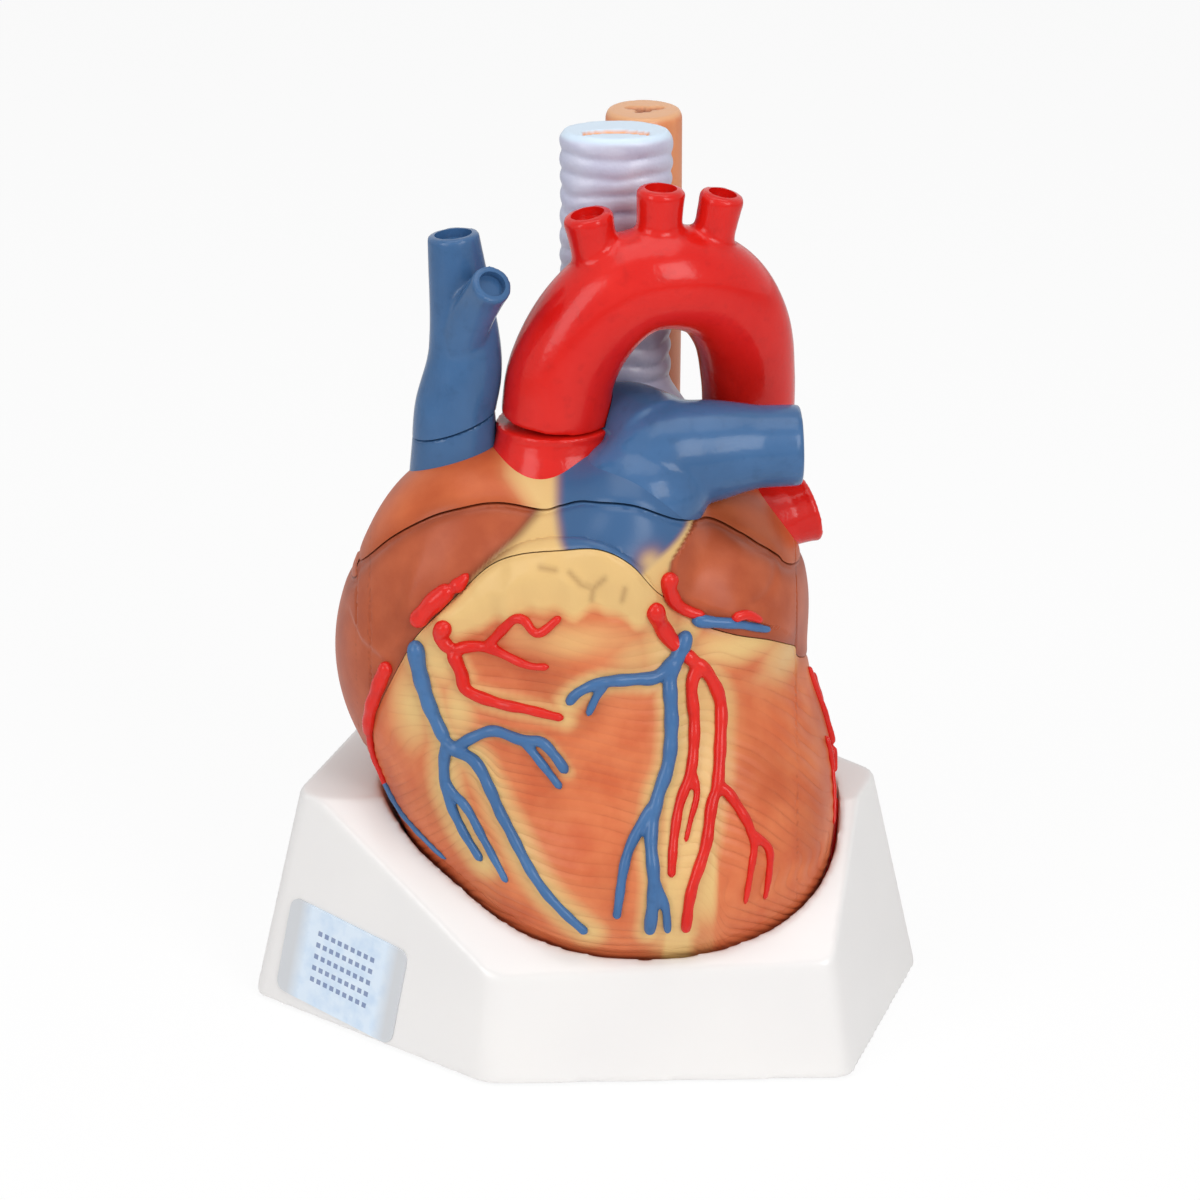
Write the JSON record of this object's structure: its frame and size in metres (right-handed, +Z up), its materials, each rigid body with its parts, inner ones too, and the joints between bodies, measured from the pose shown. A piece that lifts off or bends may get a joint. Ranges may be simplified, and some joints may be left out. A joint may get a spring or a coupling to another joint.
{
  "type": "heart_anatomy_model",
  "caption": "Human heart model on a white moulded stand, with lift-off heart wall, atria, aorta, vena cava, windpipe and gullet, for teaching how the chambers and vessels fit together",
  "frame": {"origin": "on the table, under the middle of the stand's footprint", "axes": "+X to the viewer's right, +Y to the back, +Z up; the front of the heart faces -Y"},
  "size_m": [0.2412, 0.1992, 0.313],
  "materials": {
    "white_shell": "gloss",
    "rubber_foot": "matt",
    "label_film": "gloss",
    "painted_muscle": "satin",
    "painted_atrium": "satin",
    "red_vessel": "gloss",
    "blue_vessel": "gloss",
    "valve_plastic": "satin",
    "airway_plastic": "satin",
    "gullet_plastic": "satin",
    "steel_pin": "brushed"
  },
  "bodies": {
    "stand": {"stand_shell": "white_shell", "stand_foot_1": "rubber_foot", "stand_foot_2": "rubber_foot", "stand_foot_3": "rubber_foot", "stand_foot_4": "rubber_foot", "stand_foot_5": "rubber_foot", "stand_foot_6": "rubber_foot", "stand_label": "label_film"},
    "heart_back": {"rear_ventricle_casting": "painted_muscle", "posterior_descending_artery": "red_vessel", "middle_cardiac_vein": "blue_vessel", "left_edge_artery": "red_vessel", "left_edge_vein": "blue_vessel", "mitral_papillary_muscle": "painted_muscle", "tricuspid_papillary_muscle": "painted_muscle", "front_wall_peg_1": "steel_pin", "front_wall_peg_2": "steel_pin", "front_wall_peg_3": "steel_pin", "atria_peg_1": "steel_pin", "atria_peg_2": "steel_pin"},
    "front_wall": {"front_heart_wall": "painted_muscle", "great_cardiac_vein": "blue_vessel", "anterior_artery_root": "red_vessel", "anterior_descending_artery": "red_vessel", "anterior_cardiac_vein": "blue_vessel", "right_marginal_artery": "red_vessel", "groove_artery": "red_vessel"},
    "atria": {"atria_casting": "painted_atrium", "right_coronary_root": "red_vessel", "left_coronary_root": "red_vessel", "cardiac_vein_arm": "blue_vessel", "mitral_valve": "valve_plastic", "tricuspid_valve": "valve_plastic", "roof_peg_1": "steel_pin", "roof_peg_2": "steel_pin", "pulmonary_vein_left_lower": "red_vessel", "pulmonary_vein_right_upper": "red_vessel", "pulmonary_vein_right_lower": "red_vessel"},
    "roof": {"atrial_roof_casting": "painted_atrium", "aortic_collar": "red_vessel", "pulmonary_trunk": "blue_vessel", "vena_cava_stub": "blue_vessel", "pulmonary_vein_left_upper": "red_vessel"},
    "vena_cava": {"upper_vena_cava": "blue_vessel"},
    "aorta": {"aortic_arch": "red_vessel"},
    "windpipe": {"trachea": "airway_plastic", "oesophagus_peg_1": "steel_pin", "oesophagus_peg_2": "steel_pin"},
    "gullet": {"oesophagus": "gullet_plastic"}
  },
  "joints": [
    {"name": "heart_lift", "type": "slide", "parent": "stand", "child": "heart_back", "axis": [0, 0, 1], "range_m": [0, 0.09]},
    {"name": "front_wall_pull", "type": "slide", "parent": "heart_back", "child": "front_wall", "axis": [0, -0.9903, 0.1392], "range_m": [0, 0.12]},
    {"name": "atria_lift", "type": "slide", "parent": "heart_back", "child": "atria", "axis": [0, 0, 1], "range_m": [0, 0.1]},
    {"name": "roof_lift", "type": "slide", "parent": "atria", "child": "roof", "axis": [0, 0, 1], "range_m": [0, 0.08]},
    {"name": "vena_cava_lift", "type": "slide", "parent": "roof", "child": "vena_cava", "axis": [0, 0, 1], "range_m": [0, 0.06]},
    {"name": "aorta_lift", "type": "slide", "parent": "roof", "child": "aorta", "axis": [0.0698, 0, 0.9976], "range_m": [0, 0.09]},
    {"name": "windpipe_lift", "type": "slide", "parent": "roof", "child": "windpipe", "axis": [0, 0, 1], "range_m": [0, 0.11]},
    {"name": "gullet_pull", "type": "slide", "parent": "windpipe", "child": "gullet", "axis": [0, 1, 0], "range_m": [0, 0.05]}
  ]
}
